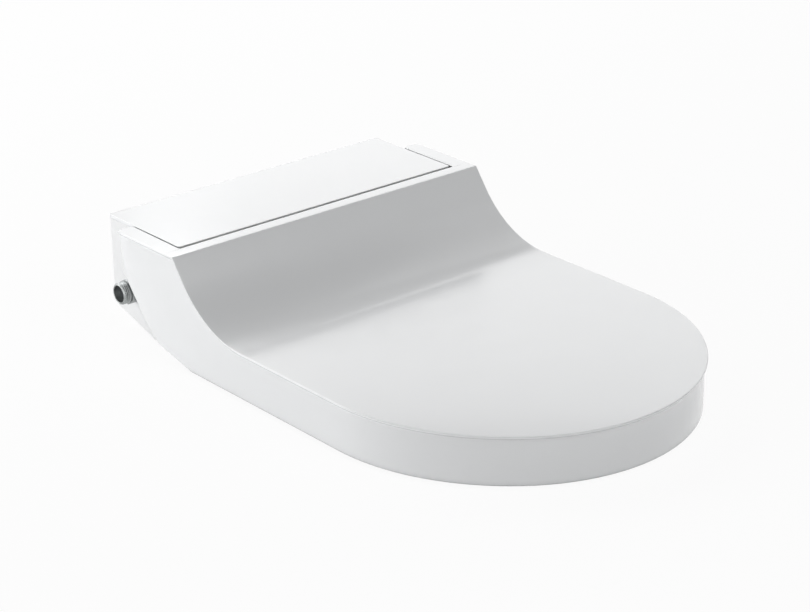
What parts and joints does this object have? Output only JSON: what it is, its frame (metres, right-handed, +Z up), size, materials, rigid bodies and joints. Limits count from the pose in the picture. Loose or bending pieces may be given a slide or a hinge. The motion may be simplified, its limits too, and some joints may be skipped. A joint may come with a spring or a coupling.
{
  "type": "electric bidet seat",
  "caption": "Shower toilet seat: slim housing at the back, heated seat ring and scooped lid on one soft-close hinge line, sliding spray arm with a geared drive.",
  "frame": {"origin": "midway between the two fixing slots, on the plane where the mounting plate and the seat buffers rest on the pan", "axes": "+X to the sitter's left seen from the front (the right of the seat seen from the front view looking along +Y), -Y towards the seat's front edge, +Z up"},
  "size_m": [0.36, 0.551, 0.109],
  "materials": {
    "gloss_white": "moulded thermoset, polished",
    "shell_white": "moulded plastic, satin gloss",
    "seat_white": "moulded plastic, smooth satin",
    "soft_grey": "soft matt elastomer",
    "steel": "turned, bright",
    "dark_metal": "dark nickel plate, machined",
    "plate_grey": "glass filled, matt",
    "nozzle_white": "smooth moulded",
    "gear_natural": "natural acetal",
    "motor_can": "plated steel can",
    "inner_grey": "moulded, matt",
    "heater_case": "glass filled, matt",
    "hose_clear": "silicone hose",
    "foil_copper": "etched copper foil",
    "board_green": "coated board",
    "carbon_filter": "open carbon honeycomb",
    "button_grey": "fine texture",
    "black_rubber": "matt",
    "dark_window": "polished infrared window"
  },
  "bodies": {
    "housing": {"base_shell": "shell_white", "board_lead": "black_rubber", "control_board": "board_green", "dryer_duct": "inner_grey", "dryer_fan_housing": "inner_grey", "dryer_fan_motor": "motor_can", "filter_case": "inner_grey", "filter_duct": "inner_grey", "flow_heater": "heater_case", "heater_hose": "hose_clear", "inlet_nut": "dark_metal", "inlet_strainer": "inner_grey", "lid_damper": "inner_grey", "mounting_plate": "plate_grey", "nozzle_hose": "hose_clear", "odour_duct": "inner_grey", "odour_fan_housing": "inner_grey", "odour_fan_motor": "motor_can", "power_inlet": "black_rubber", "power_supply": "heater_case", "presence_window": "dark_window", "seat_damper": "inner_grey", "shell_screws": "steel", "solenoid_valve": "inner_grey", "spray_arm_guide": "nozzle_white", "spray_drive_motor": "motor_can", "supply_hose": "hose_clear", "switch_board": "board_green", "switch_domes": "black_rubber", "top_shell": "shell_white", "water_inlet_nipple": "dark_metal", "water_pump": "motor_can"},
    "seat": {"seat_ring": "seat_white", "seat_ring_base": "seat_white", "seat_heater_foil": "foil_copper", "seat_buffers": "soft_grey", "seat_hinge_shaft": "steel"},
    "lid": {"lid": "gloss_white", "lid_buffers": "soft_grey", "lid_hinge_shaft": "steel"},
    "spray": {"spray_arm": "nozzle_white", "spray_nozzle": "nozzle_white"},
    "pinion": {"drive_pinion": "gear_natural"},
    "dryer_wheel": {"dryer_fan_wheel": "gear_natural"},
    "odour_wheel": {"odour_fan_wheel": "gear_natural"},
    "filter_tray": {"filter_drawer": "shell_white", "odour_filter": "carbon_filter"},
    "cover": {"design_cover": "gloss_white"},
    "power_key": {"power_button": "button_grey"},
    "wash_key": {"wash_button": "button_grey"}
  },
  "joints": [
    {"name": "seat_hinge", "type": "hinge", "parent": "housing", "child": "seat", "pos_m": [0, 0.054, 0.087], "axis": [-1, 0, 0], "range_deg": [0, 95]},
    {"name": "lid_hinge", "type": "hinge", "parent": "seat", "child": "lid", "pos_m": [0, 0.054, 0.087], "axis": [1, 0, 0], "range_deg": [-100, 0]},
    {"name": "spray_slide", "type": "slide", "parent": "housing", "child": "spray", "axis": [0, -0.9925, -0.1219], "range_m": [0, 0.10367]},
    {"name": "pinion_spin", "type": "hinge", "parent": "housing", "child": "pinion", "pos_m": [0, -0.01779, 0.03171], "axis": [-1, 0, 0], "range_deg": [0, 991]},
    {"name": "dryer_spin", "type": "hinge", "parent": "housing", "child": "dryer_wheel", "pos_m": [-0.044, 0.014, 0.044], "axis": [1, 0, 0], "continuous": true},
    {"name": "odour_spin", "type": "hinge", "parent": "housing", "child": "odour_wheel", "pos_m": [0.044, 0.014, 0.044], "axis": [1, 0, 0], "continuous": true},
    {"name": "filter_slide", "type": "slide", "parent": "housing", "child": "filter_tray", "axis": [1, 0, 0], "range_m": [0, 0.045]},
    {"name": "cover_lift", "type": "slide", "parent": "housing", "child": "cover", "axis": [0, 0, 1], "range_m": [0, 0.015]},
    {"name": "power_press", "type": "slide", "parent": "housing", "child": "power_key", "axis": [-1, 0, 0], "range_m": [0, 0.0008], "stiffness_N_per_m": 400},
    {"name": "wash_press", "type": "slide", "parent": "housing", "child": "wash_key", "axis": [-1, 0, 0], "range_m": [0, 0.0008], "stiffness_N_per_m": 400}
  ],
  "couplings": [
    {"joint": "pinion_spin", "follows": "spray_slide", "rad_per_m": 166.67}
  ]
}
